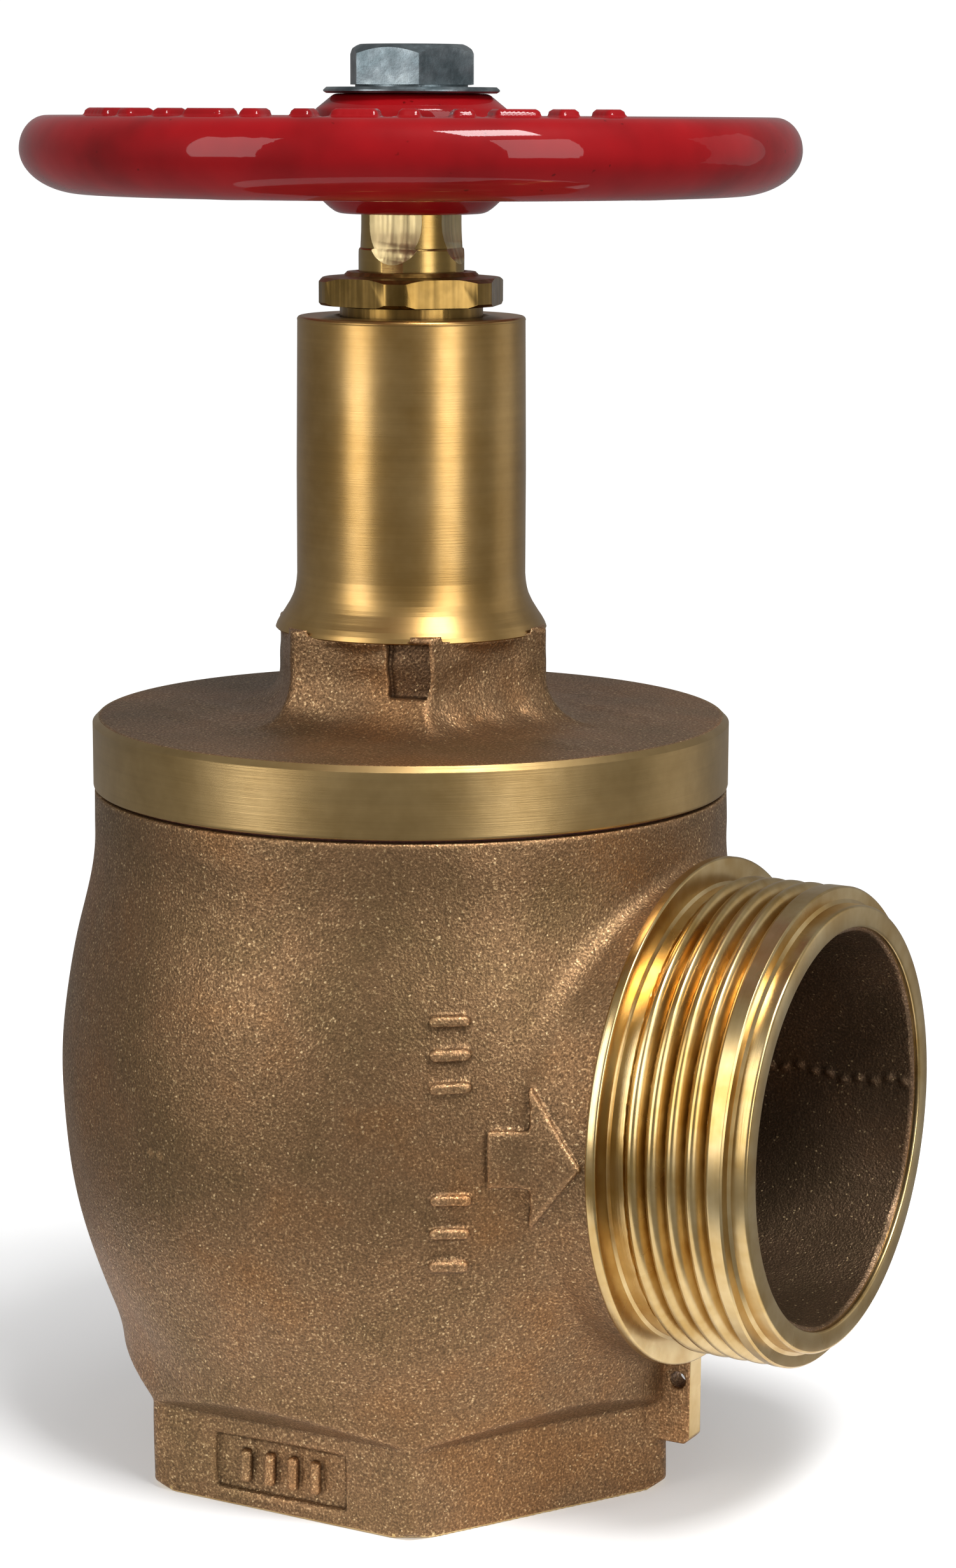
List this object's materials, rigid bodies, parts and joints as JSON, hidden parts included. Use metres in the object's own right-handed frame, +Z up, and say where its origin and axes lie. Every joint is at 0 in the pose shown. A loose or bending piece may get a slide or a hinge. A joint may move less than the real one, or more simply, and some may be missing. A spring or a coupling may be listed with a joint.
{
  "type": "globe valve",
  "caption": "Angle-pattern globe valve: hexagonal threaded inlet, round chamber, threaded hose outlet with collar, tall bonnet, rising stem and spoked handwheel.",
  "frame": {"origin": "centre of the inlet mouth, on the valve's axis", "axes": "+Z up the stem, +X out of the outlet, +Y to the outlet's left seen from above with the outlet ahead"},
  "size_m": [0.1435, 0.1274, 0.2373],
  "materials": {
    "cast_bronze": "rough sand casting",
    "turned_bronze": "cast and turned",
    "yellow_brass": "machined",
    "stem_brass": "turned and milled",
    "red_enamel": "gloss enamel",
    "zinc_steel": "bright zinc plate",
    "black_rubber": "moulded",
    "graphite": "pressed graphite",
    "red_fibre": "fibre sheet"
  },
  "bodies": {
    "valve": {"body": "cast_bronze", "bonnet": "turned_bronze", "bonnet_gasket": "red_fibre", "packing_washer": "yellow_brass", "packing_ring_lower": "graphite", "packing_ring_middle": "graphite", "packing_ring_upper": "graphite", "packing_gland": "yellow_brass", "packing_nut": "yellow_brass"},
    "disc": {"disc_holder": "turned_bronze", "seat_disc": "black_rubber", "disc_plate": "yellow_brass", "lock_washer": "zinc_steel", "disc_nut": "yellow_brass", "thrust_washer": "zinc_steel", "swivel_nut": "yellow_brass", "swivel_pin": "zinc_steel"},
    "spindle": {"stem": "stem_brass", "handwheel": "red_enamel", "wheel_washer": "zinc_steel", "wheel_bolt": "zinc_steel"}
  },
  "joints": [
    {"name": "disc_lift", "type": "slide", "parent": "valve", "child": "disc", "axis": [0, 0, 1], "range_m": [0, 0.0204]},
    {"name": "handwheel_turn", "type": "hinge", "parent": "disc", "child": "spindle", "pos_m": [0, 0, 0.2195], "axis": [0, 0, 1], "range_deg": [0, 1440]}
  ],
  "couplings": [
    {"joint": "disc_lift", "follows": "handwheel_turn", "m_per_rad": 0.00080851}
  ]
}
